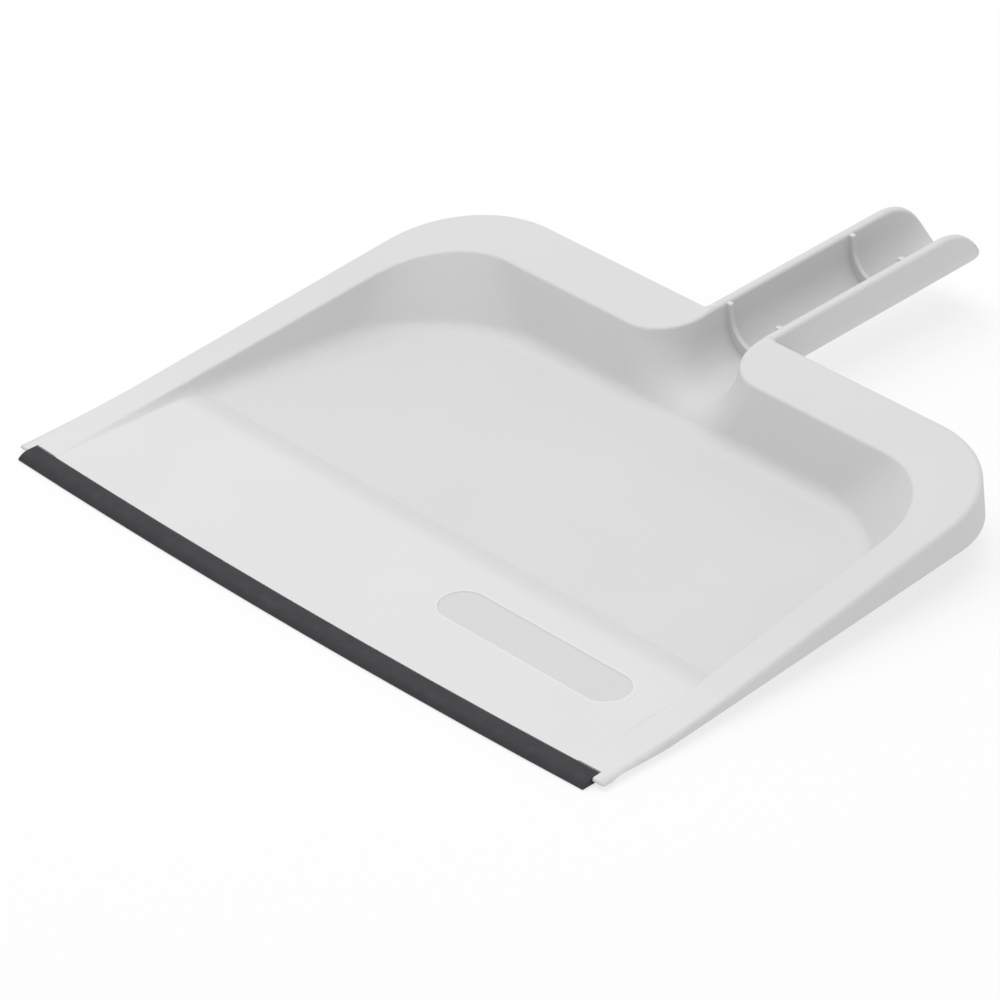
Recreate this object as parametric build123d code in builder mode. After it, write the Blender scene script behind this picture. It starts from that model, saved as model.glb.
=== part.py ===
from build123d import *
import os
from math import asin, cos, degrees, radians, sin, sqrt, tan

# Handheld dustpan: one moulded pan with a trough for a handle, and a rubber lip pushed onto its front edge.
# Sizes are in millimetres and degrees. A reach runs back from the lip's front edge, a height runs up from the
# ground, and the origin is on the ground under the middle of the length.
overall_length = 369.2
skin = 2.5

# Skirt: the outside of the rim, which narrows to the rear and spreads a little towards the ground
skirt_width = 332.2
skirt_reach = 248.4
skirt_taper = 1.64
skirt_corner = 50.0
skirt_draft = 5.7
skirt_edge_radius = 2.4

# Lower edge of the skirt, seen from the side
foot_reach = 13.0
foot_height = 1.6
foot_step = 5.0
low_edge_reach = 42.0
low_edge_height = 2.5
high_edge_setback = 46.4
high_edge_height = 15.5
edge_bend_radius = 60.0

# Rim: the flat top of the wall, seen from the side
rim_front_height = 3.0
rim_bend_reach = 75.0
rim_bend_height = 9.6
rim_rear_height = 35.1
rim_edge_radius = 1.6

# Tray: drafted walls on a flat floor, with larger corners at the floor than at the rim
floor_side_gap = 12.5
floor_rear_gap = 39.3
floor_taper = 5.64
floor_corner = 60.0
inner_rim_corner = 35.0
wall_draft = 16.0
base_radius = 9.0

# Ramp from the lip up to a soft crest, then a step down to the floor
ramp_front_height = 2.6
crest_reach = 80.5
crest_height = 5.1
crest_radius = 25.0
step_run = 8.0
step_radius = 2.0

# Handle: a round-bottomed trough that leaves the tray through a flared throat
handle_rise = 3.95
handle_width = 37.6
handle_edge_radius = 1.6
handle_end_corner = 24.0
handle_wall = 4.4
trough_centre_depth = 10.0
throat_radius = 21.0
rib_setbacks = (8.2, 78.9)
rib_thickness = 2.4
rib_height = 2.1
rib_lift = 3.4
rib_top_gap = 0.6

# Lip and the tongue that it is pushed onto, both on one gentle bow
nose_width = 6.1
lip_bow = 3.5
lip_depth = 9.7
lip_height = 2.9
lip_edge_height = 0.6
lip_back_radius = 1.0
lip_crown_radius = 7.0
tongue_end_gap = 3.0
tongue_depth = 5.0
tongue_thickness = 1.0
tongue_height = 0.8
lip_clearance = 0.1
nose_reach = 8.5
nose_radius = 1.0

# Room that cutting forms have beyond the part, and how near counts as touching
spare = 40.0
touch = 0.01

floor_height = skin
step_reach = crest_reach + step_run
floor_width = skirt_width - 2 * floor_side_gap
floor_reach = skirt_reach - floor_rear_gap
rim_rear_reach = skirt_reach - rim_rear_height * tan(radians(skirt_draft))
lip_length = skirt_width - 2 * nose_width
tongue_length = lip_length - 2 * tongue_end_gap
bow_radius = ((lip_length / 2) ** 2 + lip_bow**2) / (2 * lip_bow)
trough_radius = handle_width / 2 - handle_wall
handle_depth = trough_centre_depth + trough_radius + skin


def back(reach):
    """Y of a point this far behind the lip's front edge."""
    return reach - overall_length / 2


bow_axis = Axis((0, back(bow_radius), 0), (0, 0, 1))
handle_run = Vector(0, cos(radians(handle_rise)), sin(radians(handle_rise)))
handle_root = Vector(0, back(rim_rear_reach), rim_rear_height)


def side_plane(height):
    """Plane of a side view, with Y to the right and its zero at this height."""
    return Plane((0, 0, height), x_dir=(0, 1, 0), z_dir=(1, 0, 0))


def plan_outline(level, width, taper, reach, corner, spread):
    """Tapered outline seen from above, spread on every side, with rounded rear corners."""
    rear = reach + spread
    front_half = width / 2 + spread + spare * tan(radians(taper))
    rear_half = width / 2 + spread - rear * tan(radians(taper))
    with BuildSketch(Plane.XY.offset(level)) as plan:
        with BuildLine():
            Polyline(
                (front_half, back(-spare)),
                (rear_half, back(rear)),
                (-rear_half, back(rear)),
                (-front_half, back(-spare)),
                close=True,
            )
        make_face()
        fillet(plan.vertices().sort_by(Axis.Y)[-2:], corner)
    return plan.sketch


def under_top_line(drop):
    """Everything below the rim, the handle's edge and its rounded end, seen from the side."""
    handle_length = (overall_length - rim_rear_reach - handle_depth * handle_run.Z) / handle_run.Y
    end_top = handle_root + handle_run * handle_length
    end_bottom = end_top.Y + (end_top.Z + spare) * handle_run.Z / handle_run.Y
    with BuildPart() as under:
        with BuildSketch(side_plane(-drop)) as side:
            with BuildLine():
                rim = Line((back(rim_rear_reach), rim_rear_height), (back(rim_bend_reach), rim_bend_height))
                bend = TangentArc(rim @ 1, (back(lip_depth), rim_front_height), tangent=rim % 1)
                Polyline(
                    bend @ 1,
                    (back(-spare), rim_front_height),
                    (back(-spare), -spare),
                    (end_bottom, -spare),
                    (end_top.Y, end_top.Z),
                    rim @ 0,
                )
            make_face()
            fillet(side.vertices().sort_by(Axis.Y)[-1], handle_end_corner)
        extrude(amount=skirt_width, both=True)
    return under.part


def rim_block(inset):
    """Drafted block under the rim's top, with its top and sides moved inwards by inset."""
    with BuildPart() as block:
        spread = -inset / cos(radians(skirt_draft))
        plan = plan_outline(0, skirt_width, skirt_taper, skirt_reach, skirt_corner - inset, spread)
        extrude(plan, amount=rim_rear_height + spare, taper=skirt_draft)
        add(under_top_line(inset), mode=Mode.INTERSECT)
    return block.part


def trough_plane(setback):
    """Plane square to the handle, with its zero on the handle's top edge this far behind the rim."""
    return Plane(handle_root + handle_run * setback, (1, 0, 0), -handle_run)


def round_bottom(radius, centre_depth, mode=Mode.ADD):
    """Round-bottomed outline, open upwards, in the sketch that is being drawn."""
    with Locations((0, -centre_depth)):
        Circle(radius, mode=mode)
        Rectangle(2 * radius, 2 * spare, align=(Align.CENTER, Align.MIN), mode=mode)


def handle_section(radius, centre_depth):
    """Round-bottomed section of the handle or of its trough, at the rim."""
    with BuildSketch(trough_plane(0)) as section:
        round_bottom(radius, centre_depth)
    return section.sketch


def tray_space(grow):
    """Space in the tray and in the trough, with the floor and every wall moved outwards by grow."""
    level = floor_height - grow
    corner_shrink = (floor_corner - inner_rim_corner) / (rim_rear_height - floor_height)
    with BuildPart() as space:
        outlines = []
        for height in (-spare, rim_rear_height + spare):
            rise = height - floor_height
            corner = floor_corner + grow - rise * corner_shrink
            spread = rise * tan(radians(wall_draft)) + grow / cos(radians(wall_draft))
            outlines.append(plan_outline(height, floor_width, floor_taper, floor_reach, corner, spread))
        loft(outlines, ruled=True)

        # The trough runs through the rear wall, and its mouth there is flared
        trough = handle_section(trough_radius + grow, trough_centre_depth)
        extrude(trough, amount=spare)
        extrude(trough, amount=rim_rear_reach - overall_length - spare)
        rear_wall = space.faces().filter_by(lambda face: face.normal_at().Y > 0.9).sort_by(Axis.Y)[0]
        mouth = rear_wall.edges().filter_by(lambda edge: abs(edge.center().X) < trough_radius + grow + touch)
        fillet(mouth.sort_by(Axis.Z)[1:], throat_radius - grow)

        # Floor, with a fillet along the foot of the walls
        split(bisect_by=Plane.XY.offset(level), keep=Keep.TOP)
        floor = space.faces().sort_by(Axis.Z)[0]
        fillet(floor.edges().sort_by(Axis.Y)[1:], base_radius + grow)

        # Ramp
        with BuildSketch(side_plane(-grow)) as ramp:
            with BuildLine():
                Polyline(
                    (back(-spare), floor_height),
                    (back(-spare), ramp_front_height),
                    (back(lip_depth), ramp_front_height),
                    (back(crest_reach), crest_height),
                    (back(step_reach), floor_height),
                    close=True,
                )
            make_face()
            fillet(ramp.vertices().sort_by(Axis.X)[-2], crest_radius)
        extrude(amount=skirt_width, both=True, mode=Mode.SUBTRACT)
    return space.part


def bowed(profile, length):
    """Strip with this side profile, which follows the lip's bow over a length across the pan."""
    half_turn = degrees(asin(length / 2 / bow_radius))
    with BuildPart() as strip:
        revolve(profile, axis=bow_axis, revolution_arc=half_turn)
        mirror(about=Plane.YZ)
    return strip.part


def side_box(near_reach, far_reach, bottom, top):
    """Rectangle seen from the side."""
    with BuildSketch(side_plane(0)) as side:
        with Locations((back(near_reach), bottom)):
            Rectangle(far_reach - near_reach, top - bottom, align=(Align.MIN, Align.MIN))
    return side.sketch


def touching(edges, *shapes):
    """Edges whose middle lies on every one of these shapes."""
    return edges.filter_by(lambda edge: all(shape.distance_to(edge @ 0.5) < touch for shape in shapes))


top_line = under_top_line(0)
top_faces = Compound(top_line.faces().filter_by(lambda face: face.normal_at().Z > 0.3))

with BuildPart() as inside:
    add(tray_space(0))
    foot_of_step = (0, back(step_reach), floor_height)
    fillet(inside.edges().filter_by(Axis.X).sort_by_distance(foot_of_step)[0], step_radius)

with BuildPart() as tray_body:
    add(tray_space(skin))
    add(top_line, mode=Mode.INTERSECT)
    split(bisect_by=Plane(handle_root, (1, 0, 0), handle_run), keep=Keep.BOTTOM)

with BuildPart() as handle_body:
    # Straight-sided block with rounded outer edges, cut to a round bottom
    handle_run_out = rim_rear_reach - overall_length - spare
    with BuildSketch(trough_plane(0)):
        Rectangle(handle_width, 2 * spare)
    extrude(amount=handle_run_out)
    add(top_line, mode=Mode.INTERSECT)
    outer_edges = touching(handle_body.edges(), top_faces)
    fillet(outer_edges.filter_by(lambda edge: (edge @ 0.5).Y > handle_root.Y + touch), handle_edge_radius)
    outer_radius = handle_width / 2
    round_section = handle_section(outer_radius, handle_depth - outer_radius)
    extrude(round_section, amount=handle_run_out, mode=Mode.INTERSECT)

with BuildPart() as pan:
    # Rim and skirt, hollow below
    add(rim_block(0))
    upper = pan.faces().filter_by(lambda face: face.normal_at().Z > 0.9)
    sides = pan.faces().filter_by(lambda face: abs(face.normal_at().Z) < 0.3 and face.normal_at().Y > -0.9)
    fillet([edge for edge in upper.edges() if edge in sides.edges()], skirt_edge_radius)
    add(rim_block(skin), mode=Mode.SUBTRACT)
    with BuildSketch(side_plane(0)) as below_skirt:
        with BuildLine():
            Polyline(
                (back(-spare), foot_height),
                (back(foot_reach), foot_height),
                (back(foot_reach + foot_step), low_edge_height),
                (back(low_edge_reach), low_edge_height),
                (back(skirt_reach - high_edge_setback), high_edge_height),
                (back(skirt_reach + spare), high_edge_height),
                (back(skirt_reach + spare), -spare),
                (back(-spare), -spare),
                close=True,
            )
        make_face()
        fillet(below_skirt.vertices().sort_by(Axis.X)[4:6], edge_bend_radius)
    extrude(amount=skirt_width, both=True, mode=Mode.SUBTRACT)

    # Tray and handle, one skin thick, with their top edges rounded inside
    add([tray_body.part, handle_body.part])
    add(inside.part, mode=Mode.SUBTRACT)
    fillet(touching(pan.edges(), top_faces, inside.part), rim_edge_radius)

    # Low ribs across the trough, deepest at its bottom
    for setback in rib_setbacks:
        with BuildSketch(trough_plane(setback)):
            round_bottom(trough_radius + skin / 2, trough_centre_depth)
            round_bottom(trough_radius - rib_height, trough_centre_depth - rib_lift, Mode.SUBTRACT)
            with Locations((0, -rib_top_gap)):
                Rectangle(4 * trough_radius, 2 * spare, align=(Align.CENTER, Align.MAX), mode=Mode.INTERSECT)
        extrude(amount=rib_thickness / 2, both=True)

    # Front edge: the lip's seat between two rounded noses, and the tongue that holds the lip
    seat = side_box(-spare, lip_depth + lip_clearance, -spare, spare)
    add(bowed(seat, lip_length + 2 * lip_clearance), mode=Mode.SUBTRACT)
    with BuildSketch() as ahead_of_noses:
        with Locations((0, back(nose_reach))):
            Rectangle(2 * skirt_width, 2 * spare, align=(Align.CENTER, Align.MAX))
    extrude(amount=spare, both=True, mode=Mode.SUBTRACT)
    ends = pan.edges().filter_by_position(Axis.Y, back(nose_reach) - touch, back(nose_reach) + touch)
    fillet(ends.filter_by(GeomType.ELLIPSE), nose_radius)
    tongue_front = lip_depth - tongue_depth
    tongue = side_box(tongue_front, lip_depth + skin, tongue_height, tongue_height + tongue_thickness)
    add(bowed(tongue, tongue_length))

with BuildPart() as rubber_lip:
    crown_reach = sqrt(lip_crown_radius**2 - (lip_crown_radius - lip_height + lip_edge_height) ** 2)
    with BuildSketch(side_plane(0)) as lip_side:
        with BuildLine():
            flat = Polyline(
                (back(0), lip_edge_height),
                (back(0), 0),
                (back(lip_depth), 0),
                (back(lip_depth), lip_height),
                (back(crown_reach), lip_height),
            )
            RadiusArc(flat @ 1, flat @ 0, -lip_crown_radius)
        make_face()
        fillet(lip_side.vertices().sort_by(Axis.X)[-2:].sort_by(Axis.Y)[-1], lip_back_radius)
    slot = side_box(
        lip_depth - tongue_depth - lip_clearance,
        lip_depth + skin,
        tongue_height - lip_clearance,
        tongue_height + tongue_thickness + lip_clearance,
    )
    add(bowed(lip_side.sketch, lip_length))
    add(bowed(slot, lip_length + skin), mode=Mode.SUBTRACT)

os.makedirs("parts", exist_ok=True)
pan.part.label = "pan"
rubber_lip.part.label = "rubber_lip"
export_step(pan.part, "parts/pan.step")
export_step(rubber_lip.part, "parts/rubber_lip.step")
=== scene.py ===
from math import cos, hypot, radians, sin, tan

import bpy
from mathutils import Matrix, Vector


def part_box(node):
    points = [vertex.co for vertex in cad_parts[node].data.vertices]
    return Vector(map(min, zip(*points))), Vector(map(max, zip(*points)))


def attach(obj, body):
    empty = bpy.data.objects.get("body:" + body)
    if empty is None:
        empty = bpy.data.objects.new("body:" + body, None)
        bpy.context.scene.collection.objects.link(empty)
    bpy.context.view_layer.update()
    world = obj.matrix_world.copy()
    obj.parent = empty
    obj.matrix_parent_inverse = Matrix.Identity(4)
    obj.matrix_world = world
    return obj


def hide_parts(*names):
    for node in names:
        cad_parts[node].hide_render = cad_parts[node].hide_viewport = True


# Handheld dustpan: a pale moulded pan with a trough for a handle, and a dark rubber lip along its front edge.
# Metres and degrees. X runs along the lip, Y from the lip to the handle, Z up from the ground.
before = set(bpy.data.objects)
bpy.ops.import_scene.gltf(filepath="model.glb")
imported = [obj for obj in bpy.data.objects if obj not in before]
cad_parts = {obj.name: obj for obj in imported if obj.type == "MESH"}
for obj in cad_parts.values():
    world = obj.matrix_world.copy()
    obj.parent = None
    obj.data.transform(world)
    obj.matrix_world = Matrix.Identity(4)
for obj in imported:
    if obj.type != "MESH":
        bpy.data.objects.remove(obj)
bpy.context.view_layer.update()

# Meshes: edges that stay sharp or count as flat, corners that are one, and the sides of a round block
SMOOTH_ANGLE = 32.0
FLAT_ANGLE = 1.0
NORMAL_WEIGHT = 100
MERGE_GAP = 0.000002
NEAR = 0.00006
ROUND_SIDES = 96
FACING_UP = 0.9

# Ramp: its surface from the lip to the crest, and the rim beside it, on which its painted light fades out;
# the ramp and the front of the rim are painted paler, as if more light falls on the open front
RAMP_FRONT_REACH = 0.0097
RAMP_FRONT_HEIGHT = 0.0026
RAMP_SLOPE = 2.02
RAMP_HALF_WIDTH = 0.1470
RAMP_SIDE_RUN = 0.0015
RAMP_SKIN = 0.0020
RIM_HALF_WIDTH = 0.1635
RIM_PAINTED_LIGHT_FADE = 0.0700
CREST_REACH = 0.0805
CREST_RUN = 0.0080

# Bare panel pressed into the ramp, and how far its painted highlight border runs to both sides of its edge
PANEL_LENGTH = 0.0970
PANEL_WIDTH = 0.0200
PANEL_EDGE = 0.00045
PANEL_DEPTH = 0.00035
PANEL_ACROSS = 0.0826
PANEL_REACH = 0.0530
HIGHLIGHT_INSIDE = 0.0010
HIGHLIGHT_OUTSIDE = 0.0020

# Low dome that the mould's gate left on the tray floor
GATE_HALF_WIDTH = 0.0042
GATE_HALF_HEIGHT = 0.0012
GATE_SUNK = 0.0008
GATE_PLACE = (0.0160, 0.1798)
GATE_STEPS = 48
FLOOR_HEIGHT = 0.0025

# Root of the handle, where its sides blend into the rim's rear, and the room that its cutting blocks take
ROOT_REACH = 0.2449
ROOT_HEIGHT = 0.0351
RIM_SLOPE = 8.53
HANDLE_RISE = 3.95
HANDLE_HALF_WIDTH = 0.0188
BLEND_RADIUS = 0.0018
BLEND_EDGE = 0.0024
BLEND_DEPTH = 0.0120
BLEND_OVERLAP = 0.0034
FLARE_STEPS = 8
SPARE = 0.0200
SPACE_SIZE = (0.1600, 0.0800, 0.0400)

# Ribs across the trough, whose free edges are rounded
RIB_SETBACKS = (0.0082, 0.0789)
RIB_THICKNESS = 0.0024
RIB_INNER_RADIUS = 0.0123
RIB_CENTRE_DEPTH = 0.0066
RIB_TOP_DEPTH = 0.0006
RIB_TOP_REACH = 0.0030
RIB_EDGE = 0.0006
RIB_EDGE_STEPS = 3

# Plastic tones: most of the pan, the ramp painted paler as painted light, the panel, and its border from the
# inside outwards, painted as a pale highlight ring
BODY_TONE = (0.604, 0.605, 0.612)
RAMP_PAINTED_LIGHT_TONE = (0.652, 0.653, 0.656)
PANEL_TONE = (0.588, 0.589, 0.592)
# Painted highlight: a pale ring is painted round the panel's edge.
BORDER_HIGHLIGHT_TONE = (0.680, 0.681, 0.684)
PANEL_HIGHLIGHT_STOPS = [(0.2, PANEL_TONE), (0.32, BORDER_HIGHLIGHT_TONE), (0.6, BORDER_HIGHLIGHT_TONE), (0.9, RAMP_PAINTED_LIGHT_TONE)]

# Plastic finish: a slow drift in tone, a satin gloss and a fine mould grain, each with its waves in a metre
DRIFT_WAVES = 14.0
DRIFT_VALUE = (0.99, 1.01)
PLASTIC_GLOSS_WAVES = 60.0
PLASTIC_ROUGHNESS = (0.55, 0.63)
PLASTIC_GRAIN_WAVES = 2200.0
PLASTIC_GRAIN_STRENGTH = 0.35
PLASTIC_GRAIN_DEPTH = 0.00002
PLASTIC_IOR = 1.46

# Rubber finish: a pale bloom on the dark strip, a dull gloss and a fine skin
RUBBER_TONE = (0.0185, 0.019, 0.0225)
BLOOM_TONE = (0.0245, 0.025, 0.029)
BLOOM_WAVES = 90.0
RUBBER_GLOSS_WAVES = 240.0
RUBBER_ROUGHNESS = (0.6, 0.72)
RUBBER_GRAIN_WAVES = 2600.0
RUBBER_GRAIN_STRENGTH = 0.4
RUBBER_GRAIN_DEPTH = 0.00004
RUBBER_IOR = 1.45

# Irregular patterns: how much fine detail they hold, and the middle range in which most of their values lie
PLAIN_DETAIL = 2.0
GLOSS_DETAIL = 3.0
BLOOM_DETAIL = 4.0
DETAIL_ROUGHNESS = 0.55
PATTERN_LOW = 0.3
PATTERN_HIGH = 0.7

# Sockets of a Mix node, which has one set for numbers and one for colours
NUMBER_A, NUMBER_B, NUMBER_OUT = 2, 3, 0
COLOUR_A, COLOUR_B, COLOUR_OUT = 6, 7, 2

# Camera, placed as the photograph was taken
CAMERA_PLACE = (1.38760, -1.37847, 1.15182)
CAMERA_AZIMUTH = 46.705
CAMERA_ELEVATION = 31.0
CAMERA_LENS = 206.72
CAMERA_SENSOR = 36.0
CAMERA_FAR = 50.0

# Studio: the white ground, the white all round, and name, azimuth, elevation, size and power of each softbox
STUDIO_WHITE = (1, 1, 1, 1)
GROUND_SIZE = 12
GROUND_DROP = 0.0004
GROUND_TONE = (0.25, 0.25, 0.25, 1)
GROUND_ROUGHNESS = 0.9
GROUND_GLOW = 0.68
WORLD_STRENGTH = 0.75
SOFTBOX_DISTANCE = 2.0
SOFTBOXES = [
    ("overhead_softbox", 0.0, 90.0, 1.6, 14.5),
    ("left_softbox", 270.0, 60.0, 1.2, 6.5),
]

lip_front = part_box("rubber_lip")[0].y


def deselect():
    """Nothing selected and nothing in edit mode, as every operator below expects."""
    if bpy.context.object and bpy.context.object.mode != "OBJECT":
        bpy.ops.object.mode_set(mode="OBJECT")
    bpy.ops.object.select_all(action="DESELECT")


def pick(piece):
    """This piece alone selected and active."""
    deselect()
    piece.select_set(True)
    bpy.context.view_layer.objects.active = piece


def select_none(kind):
    """Nothing selected in the active piece's mesh, so that corners, edges or faces can be picked in code."""
    bpy.ops.object.mode_set(mode="EDIT")
    bpy.ops.mesh.select_mode(type=kind)
    bpy.ops.mesh.select_all(action="DESELECT")
    bpy.ops.object.mode_set(mode="OBJECT")


def merged_copy(node, name):
    """The node's shape as a piece of its own, with its loose triangles joined."""
    piece = bpy.data.objects.new(name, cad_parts[node].data.copy())
    bpy.context.scene.collection.objects.link(piece)
    piece.data.materials.clear()
    pick(piece)
    if piece.data.has_custom_normals:
        bpy.ops.mesh.customdata_custom_splitnormals_clear()
    bpy.ops.object.mode_set(mode="EDIT")
    bpy.ops.mesh.select_all(action="SELECT")
    bpy.ops.mesh.remove_doubles(threshold=MERGE_GAP)
    bpy.ops.object.mode_set(mode="OBJECT")
    return piece


def apply_modifier(piece, kind, **settings):
    """Adds a modifier with these settings and applies it."""
    modifier = piece.modifiers.new(kind.lower(), kind)
    for name, value in settings.items():
        setattr(modifier, name, value)
    pick(piece)
    bpy.ops.object.modifier_apply(modifier=modifier.name)


def combine(piece, block, operation):
    """Cuts the block out of the piece, or joins the two."""
    apply_modifier(piece, "BOOLEAN", object=block, operation=operation, solver="EXACT")
    bpy.data.objects.remove(block)


def smooth(piece):
    """Round faces shaded smooth, flat faces kept flat, and true edges kept sharp."""
    pick(piece)
    bpy.ops.object.shade_smooth_by_angle(angle=radians(SMOOTH_ANGLE))
    apply_modifier(
        piece, "WEIGHTED_NORMAL", mode="FACE_AREA_WITH_ANGLE", keep_sharp=True, weight=NORMAL_WEIGHT
    )


def settle(block, place, slope):
    """Tilts the new block by the slope, moves it to its place and keeps both in its mesh."""
    block.rotation_euler.x = radians(slope)
    block.location = place
    bpy.ops.object.transform_apply(location=True, rotation=True, scale=True)


def direction(azimuth, elevation):
    """Unit vector from the dustpan towards this azimuth, measured from the front, and elevation."""
    around, up = radians(azimuth), radians(elevation)
    return Vector((sin(around) * cos(up), -cos(around) * cos(up), sin(up)))


def ramp_height(reach):
    """Height of the ramp's surface this far behind the lip's front edge."""
    return RAMP_FRONT_HEIGHT + (reach - RAMP_FRONT_REACH) * tan(radians(RAMP_SLOPE))


def panel_block(middle):
    """Flat block with round ends, half sunk into the ramp at middle, which widens a little upwards."""
    deselect()
    bpy.ops.mesh.primitive_cone_add(
        vertices=ROUND_SIDES,
        radius1=PANEL_WIDTH / 2 - PANEL_EDGE,
        radius2=PANEL_WIDTH / 2 + PANEL_EDGE,
        depth=2 * PANEL_DEPTH,
    )
    block = bpy.context.object
    for side in (-1, 1):
        select_none("VERT")
        for vertex in block.data.vertices:
            vertex.select = vertex.co.x * side > MERGE_GAP
        bpy.ops.object.mode_set(mode="EDIT")
        bpy.ops.transform.translate(value=(side * (PANEL_LENGTH - PANEL_WIDTH) / 2, 0, 0))
        bpy.ops.object.mode_set(mode="OBJECT")
    settle(block, middle, RAMP_SLOPE)
    return block


def gate_dome(middle):
    """Flat ellipsoid, sunk into the tray floor at middle."""
    deselect()
    bpy.ops.mesh.primitive_uv_sphere_add(
        segments=GATE_STEPS,
        ring_count=GATE_STEPS,
        radius=1,
        location=middle - Vector((0, 0, GATE_SUNK)),
        scale=(GATE_HALF_WIDTH, GATE_HALF_WIDTH, GATE_HALF_HEIGHT),
    )
    bpy.ops.object.transform_apply(location=True, rotation=True, scale=True)
    return bpy.context.object


def box_between(low, high):
    """Box between two corners."""
    deselect()
    bpy.ops.mesh.primitive_cube_add(size=1, location=(low + high) / 2, scale=high - low)
    bpy.ops.object.transform_apply(location=True, rotation=True, scale=True)
    return bpy.context.object


def space_above(root, slope):
    """Everything near the root that lies above a plane which rises to the rear by this slope."""
    deselect()
    bpy.ops.mesh.primitive_cube_add(size=1, location=(0, 0, SPACE_SIZE[2] / 2), scale=SPACE_SIZE)
    space = bpy.context.object
    bpy.ops.object.transform_apply(location=True, rotation=False, scale=True)
    settle(space, root, slope)
    return space


def flared_hollow(top_middle):
    """Round space with a flared mouth, square to the handle's top edges, which cuts one root blend."""
    deselect()
    bpy.ops.mesh.primitive_cylinder_add(
        vertices=ROUND_SIDES, radius=BLEND_RADIUS, depth=2 * SPARE, location=(0, 0, -BLEND_EDGE - SPARE)
    )
    hollow = bpy.context.object
    bpy.ops.object.transform_apply(location=True, rotation=False, scale=False)
    select_none("FACE")
    for face in hollow.data.polygons:
        face.select = face.normal.z > FACING_UP
    bpy.ops.object.mode_set(mode="EDIT")
    radius, height = BLEND_RADIUS, -BLEND_EDGE
    for step in range(1, FLARE_STEPS + 1):
        turn = radians(90 * step / FLARE_STEPS)
        new_radius = BLEND_RADIUS + BLEND_EDGE * (1 - cos(turn))
        new_height = BLEND_EDGE * (sin(turn) - 1)
        bpy.ops.mesh.extrude_region_move(TRANSFORM_OT_translate={"value": (0, 0, new_height - height)})
        growth = new_radius / radius
        bpy.ops.transform.resize(value=(growth, growth, 1), center_override=(0, 0, 0))
        radius, height = new_radius, new_height
    bpy.ops.mesh.extrude_region_move(TRANSFORM_OT_translate={"value": (0, 0, SPARE)})
    bpy.ops.mesh.select_mode(type="VERT")
    bpy.ops.object.mode_set(mode="OBJECT")
    settle(hollow, top_middle, HANDLE_RISE)
    return hollow


def root_blends():
    """Hollow-cornered blocks that round the handle's sides into the rear of the rim, one on each side."""
    root = Vector((0, lip_front + ROOT_REACH, ROOT_HEIGHT))
    inner = Vector((HANDLE_HALF_WIDTH - BLEND_OVERLAP, root.y - BLEND_OVERLAP, ROOT_HEIGHT - BLEND_DEPTH))
    outer = Vector((HANDLE_HALF_WIDTH + BLEND_RADIUS, root.y + BLEND_RADIUS, ROOT_HEIGHT + SPARE))
    blend = box_between(inner, outer)
    combine(blend, space_above(root, RIM_SLOPE), "DIFFERENCE")
    combine(blend, space_above(root, HANDLE_RISE), "DIFFERENCE")
    combine(blend, flared_hollow(Vector((outer.x, outer.y, ROOT_HEIGHT))), "DIFFERENCE")
    apply_modifier(blend, "MIRROR", use_axis=(True, False, False))
    return blend


def along_handle(point):
    """How far a point lies from the handle's middle, behind its root and down in its trough."""
    rise = radians(HANDLE_RISE)
    offset = point - Vector((0, lip_front + ROOT_REACH, ROOT_HEIGHT))
    behind = offset.dot(Vector((0, cos(rise), sin(rise))))
    depth = offset.dot(Vector((0, sin(rise), -cos(rise))))
    return abs(point.x), behind, depth


def round_rib(piece, setback):
    """Rounds the free edges of the rib that crosses the trough this far behind the root."""
    pick(piece)
    select_none("FACE")
    half = RIB_THICKNESS / 2 + NEAR
    places = [along_handle(vertex.co) for vertex in piece.data.vertices]
    in_rib = [abs(behind - setback) < half and RIB_TOP_DEPTH - NEAR < depth for _, behind, depth in places]
    for face in piece.data.polygons:
        face.select = all(in_rib[corner] for corner in face.vertices)
    bpy.ops.object.mode_set(mode="EDIT")
    bpy.ops.mesh.dissolve_limited(angle_limit=radians(FLAT_ANGLE))
    select_none("EDGE")
    places = [along_handle(vertex.co) for vertex in piece.data.vertices]
    free, top = [], []
    for across, behind, depth in places:
        from_centre = hypot(across, max(depth - RIB_CENTRE_DEPTH, 0))
        in_thickness = abs(behind - setback) < half
        below_top = in_thickness and depth > RIB_TOP_DEPTH - NEAR
        free.append(below_top and abs(from_centre - RIB_INNER_RADIUS) < 2 * NEAR)
        at_top = in_thickness and abs(depth - RIB_TOP_DEPTH) < NEAR
        top.append(at_top and across < RIB_INNER_RADIUS + RIB_TOP_REACH)
    for edge in piece.data.edges:
        first, second = edge.vertices
        level = abs(places[first][1] - places[second][1]) < NEAR
        both_free = free[first] and free[second]
        on_top = top[first] and top[second] and (level or both_free)
        edge.select = (both_free and level) or on_top
    bpy.ops.object.mode_set(mode="EDIT")
    bpy.ops.mesh.bevel(offset=RIB_EDGE, segments=RIB_EDGE_STEPS, affect="EDGES")
    bpy.ops.mesh.select_mode(type="VERT")
    bpy.ops.object.mode_set(mode="OBJECT")


def new_material(name):
    """Empty node material: its tree, its shader and its Object coordinates."""
    material = bpy.data.materials.new(name)
    material.use_nodes = True
    tree = material.node_tree
    shader = tree.nodes["Principled BSDF"]
    place = tree.nodes.new("ShaderNodeTexCoord")
    return material, tree, shader, place.outputs["Object"]


def noise(tree, place, waves, detail):
    """Soft irregular pattern with this many waves in a metre."""
    node = tree.nodes.new("ShaderNodeTexNoise")
    node.inputs["Scale"].default_value = waves
    node.inputs["Detail"].default_value = detail
    node.inputs["Roughness"].default_value = DETAIL_ROUGHNESS
    tree.links.new(place, node.inputs["Vector"])
    return node.outputs["Fac"]


def tones_along(tree, value, stops):
    """Tone that runs through these (position, tone) stops."""
    node = tree.nodes.new("ShaderNodeValToRGB")
    tree.links.new(value, node.inputs["Fac"])
    elements = node.color_ramp.elements
    while len(elements) < len(stops):
        elements.new(0.5)
    for element, (position, tone) in zip(elements, stops):
        element.position = position
        element.color = (*tone, 1)
    return node.outputs["Color"]


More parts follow.
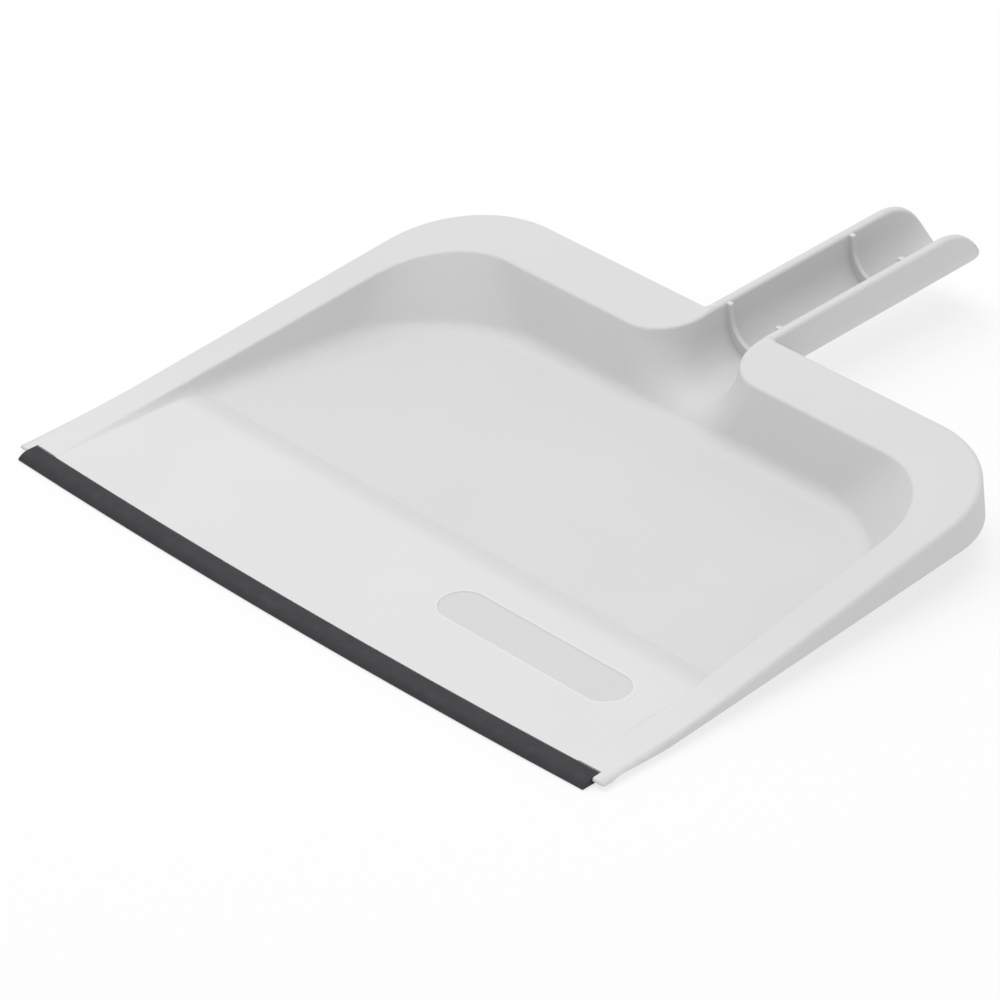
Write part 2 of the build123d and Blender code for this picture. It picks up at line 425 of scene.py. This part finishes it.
def spread(tree, value, low, high):
    """Maps a pattern's middle range onto low to high."""
    node = tree.nodes.new("ShaderNodeMapRange")
    node.inputs["From Min"].default_value = PATTERN_LOW
    node.inputs["From Max"].default_value = PATTERN_HIGH
    node.inputs["To Min"].default_value = low
    node.inputs["To Max"].default_value = high
    tree.links.new(value, node.inputs["Value"])
    return node.outputs["Result"]


def grain(tree, shader, height, strength, depth):
    """Fine relief on the surface."""
    node = tree.nodes.new("ShaderNodeBump")
    node.inputs["Strength"].default_value = strength
    node.inputs["Distance"].default_value = depth
    tree.links.new(height, node.inputs["Height"])
    tree.links.new(node.outputs["Normal"], shader.inputs["Normal"])


def vector_step(tree, operation, value, other):
    """One step of vector arithmetic with a fixed second vector."""
    node = tree.nodes.new("ShaderNodeVectorMath")
    node.operation = operation
    tree.links.new(value, node.inputs[0])
    node.inputs[1].default_value = other
    return node.outputs["Value" if operation in ("LENGTH", "DOT_PRODUCT") else "Vector"]


def softly(tree, value, start, end, low, high):
    """Goes smoothly from low to high while the value runs from start to end."""
    node = tree.nodes.new("ShaderNodeMapRange")
    node.interpolation_type = "SMOOTHSTEP"
    for socket, number in (("From Min", start), ("From Max", end), ("To Min", low), ("To Max", high)):
        node.inputs[socket].default_value = number
    tree.links.new(value, node.inputs["Value"])
    return node.outputs["Result"]


def multiplied(tree, value, other):
    """Product of two patterns."""
    node = tree.nodes.new("ShaderNodeMath")
    node.operation = "MULTIPLY"
    tree.links.new(value, node.inputs[0])
    tree.links.new(other, node.inputs[1])
    return node.outputs["Value"]


def painted_light_front(tree, place):
    """Mask of painted light, paler where more light falls on the open front: one on the ramp's upper face,
    fading out along the rim, and nothing behind the crest or underneath.
    """
    split = tree.nodes.new("ShaderNodeSeparateXYZ")
    tree.links.new(place, split.inputs["Vector"])
    absolute = tree.nodes.new("ShaderNodeMath")
    absolute.operation = "ABSOLUTE"
    tree.links.new(split.outputs["X"], absolute.inputs[0])
    from_middle, along = absolute.outputs["Value"], split.outputs["Y"]
    crest = lip_front + CREST_REACH
    reach = tree.nodes.new("ShaderNodeMix")
    on_rim = softly(tree, from_middle, RAMP_HALF_WIDTH - RAMP_SIDE_RUN, RAMP_HALF_WIDTH, 0, 1)
    on_ramp_tone = softly(tree, along, crest - CREST_RUN, crest, 1, 0)
    on_rim_tone = softly(tree, along, crest - RIM_PAINTED_LIGHT_FADE, crest + RIM_PAINTED_LIGHT_FADE, 1, 0)
    tree.links.new(on_rim, reach.inputs["Factor"])
    tree.links.new(on_ramp_tone, reach.inputs[NUMBER_A])
    tree.links.new(on_rim_tone, reach.inputs[NUMBER_B])
    inside_skirt = softly(tree, from_middle, RIM_HALF_WIDTH - RAMP_SIDE_RUN, RIM_HALF_WIDTH, 1, 0)
    up = Vector((0, -sin(radians(RAMP_SLOPE)), cos(radians(RAMP_SLOPE))))
    offset = vector_step(tree, "SUBTRACT", place, (0, lip_front + RAMP_FRONT_REACH, RAMP_FRONT_HEIGHT))
    upper = softly(tree, vector_step(tree, "DOT_PRODUCT", offset, up), -RAMP_SKIN, -RAMP_SKIN / 2, 0, 1)
    return multiplied(tree, multiplied(tree, reach.outputs[NUMBER_OUT], inside_skirt), upper)


def from_panel(tree, place):
    """Distance from the panel's middle line."""
    middle = (PANEL_ACROSS, lip_front + PANEL_REACH, 0)
    offset = vector_step(tree, "ABSOLUTE", vector_step(tree, "SUBTRACT", place, middle), (0, 0, 0))
    past_line = vector_step(tree, "SUBTRACT", offset, ((PANEL_LENGTH - PANEL_WIDTH) / 2, 0, 0))
    outside = vector_step(tree, "MAXIMUM", past_line, (0, 0, 0))
    return vector_step(tree, "LENGTH", vector_step(tree, "MULTIPLY", outside, (1, 1, 0)), (0, 0, 0))


def moulded_plastic():
    """Satin moulded plastic with a ramp painted paler as painted light, a dull panel in it with a painted
    highlight round its border, and a fine mould grain.
    """
    material, tree, shader, place = new_material("pan_plastic")
    edge = PANEL_WIDTH / 2
    # Painted highlight: the border tones paint a pale ring round the panel's edge.
    past_highlight = softly(tree, from_panel(tree, place), edge - HIGHLIGHT_INSIDE, edge + HIGHLIGHT_OUTSIDE, 0, 1)
    zones = tree.nodes.new("ShaderNodeMix")
    zones.data_type = "RGBA"
    # Painted light: the ramp and the front of the rim are painted paler than the rest of the pan.
    tree.links.new(painted_light_front(tree, place), zones.inputs["Factor"])
    zones.inputs[COLOUR_A].default_value = (*BODY_TONE, 1)
    tree.links.new(tones_along(tree, past_highlight, PANEL_HIGHLIGHT_STOPS), zones.inputs[COLOUR_B])
    drift = tree.nodes.new("ShaderNodeHueSaturation")
    slow = noise(tree, place, DRIFT_WAVES, PLAIN_DETAIL)
    tree.links.new(zones.outputs[COLOUR_OUT], drift.inputs["Color"])
    tree.links.new(spread(tree, slow, *DRIFT_VALUE), drift.inputs["Value"])
    tree.links.new(drift.outputs["Color"], shader.inputs["Base Color"])
    gloss = noise(tree, place, PLASTIC_GLOSS_WAVES, GLOSS_DETAIL)
    tree.links.new(spread(tree, gloss, *PLASTIC_ROUGHNESS), shader.inputs["Roughness"])
    relief = noise(tree, place, PLASTIC_GRAIN_WAVES, PLAIN_DETAIL)
    grain(tree, shader, relief, PLASTIC_GRAIN_STRENGTH, PLASTIC_GRAIN_DEPTH)
    shader.inputs["IOR"].default_value = PLASTIC_IOR
    return material


def lip_rubber():
    """Matte dark rubber with a slight bloom and a fine skin."""
    material, tree, shader, place = new_material("lip_rubber")
    bloom = noise(tree, place, BLOOM_WAVES, BLOOM_DETAIL)
    tones = tones_along(tree, bloom, [(PATTERN_LOW, RUBBER_TONE), (PATTERN_HIGH, BLOOM_TONE)])
    tree.links.new(tones, shader.inputs["Base Color"])
    gloss = noise(tree, place, RUBBER_GLOSS_WAVES, GLOSS_DETAIL)
    tree.links.new(spread(tree, gloss, *RUBBER_ROUGHNESS), shader.inputs["Roughness"])
    relief = noise(tree, place, RUBBER_GRAIN_WAVES, PLAIN_DETAIL)
    grain(tree, shader, relief, RUBBER_GRAIN_STRENGTH, RUBBER_GRAIN_DEPTH)
    shader.inputs["IOR"].default_value = RUBBER_IOR
    return material


# Pan: the moulding itself, with the panel in its ramp, the gate's dome and the blends at the handle's root
pan = merged_copy("pan", "pan_moulding")
for setback in RIB_SETBACKS:
    round_rib(pan, setback)
panel_middle = Vector((PANEL_ACROSS, lip_front + PANEL_REACH, ramp_height(PANEL_REACH)))
combine(pan, panel_block(panel_middle), "DIFFERENCE")
gate_middle = Vector((GATE_PLACE[0], lip_front + GATE_PLACE[1], FLOOR_HEIGHT))
combine(pan, gate_dome(gate_middle), "UNION")
combine(pan, root_blends(), "UNION")
smooth(pan)
pan.data.materials.clear()
pan.data.materials.append(moulded_plastic())
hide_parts("pan")
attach(pan, "root")

# Lip: the dark strip along the front edge
lip = merged_copy("rubber_lip", "lip_strip")
smooth(lip)
lip.data.materials.append(lip_rubber())
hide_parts("rubber_lip")
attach(lip, "root")

# Studio: a white floor, white all round, soft lights above and to the left, and the camera
deselect()
bpy.ops.mesh.primitive_plane_add(size=GROUND_SIZE, location=(0, 0, -GROUND_DROP))
floor = bpy.context.object
floor.name = "studio_floor"
floor_material, _, floor_shader, _ = new_material("studio_white")
floor_shader.inputs["Base Color"].default_value = GROUND_TONE
floor_shader.inputs["Roughness"].default_value = GROUND_ROUGHNESS
floor_shader.inputs["Emission Color"].default_value = STUDIO_WHITE
floor_shader.inputs["Emission Strength"].default_value = GROUND_GLOW
floor.data.materials.append(floor_material)

world = bpy.data.worlds.new("studio")
bpy.context.scene.world = world
world.use_nodes = True
world.node_tree.nodes["Background"].inputs["Color"].default_value = STUDIO_WHITE
world.node_tree.nodes["Background"].inputs["Strength"].default_value = WORLD_STRENGTH

for name, azimuth, elevation, size, power in SOFTBOXES:
    way = direction(azimuth, elevation)
    deselect()
    bpy.ops.object.light_add(type="AREA", location=way * SOFTBOX_DISTANCE)
    softbox = bpy.context.object
    softbox.name = name
    softbox.data.shape = "SQUARE"
    softbox.data.size = size
    softbox.data.energy = power
    softbox.rotation_mode = "QUATERNION"
    softbox.rotation_quaternion = way.to_track_quat("Z", "Y")

bpy.ops.object.camera_add(location=CAMERA_PLACE)
camera = bpy.context.object
camera.name = "photo_camera"
camera.rotation_mode = "QUATERNION"
camera.rotation_quaternion = direction(CAMERA_AZIMUTH, CAMERA_ELEVATION).to_track_quat("Z", "Y")
camera.data.sensor_width = CAMERA_SENSOR
camera.data.lens = CAMERA_LENS
camera.data.clip_end = CAMERA_FAR
bpy.context.scene.camera = camera
bpy.context.scene.view_settings.view_transform = "Standard"
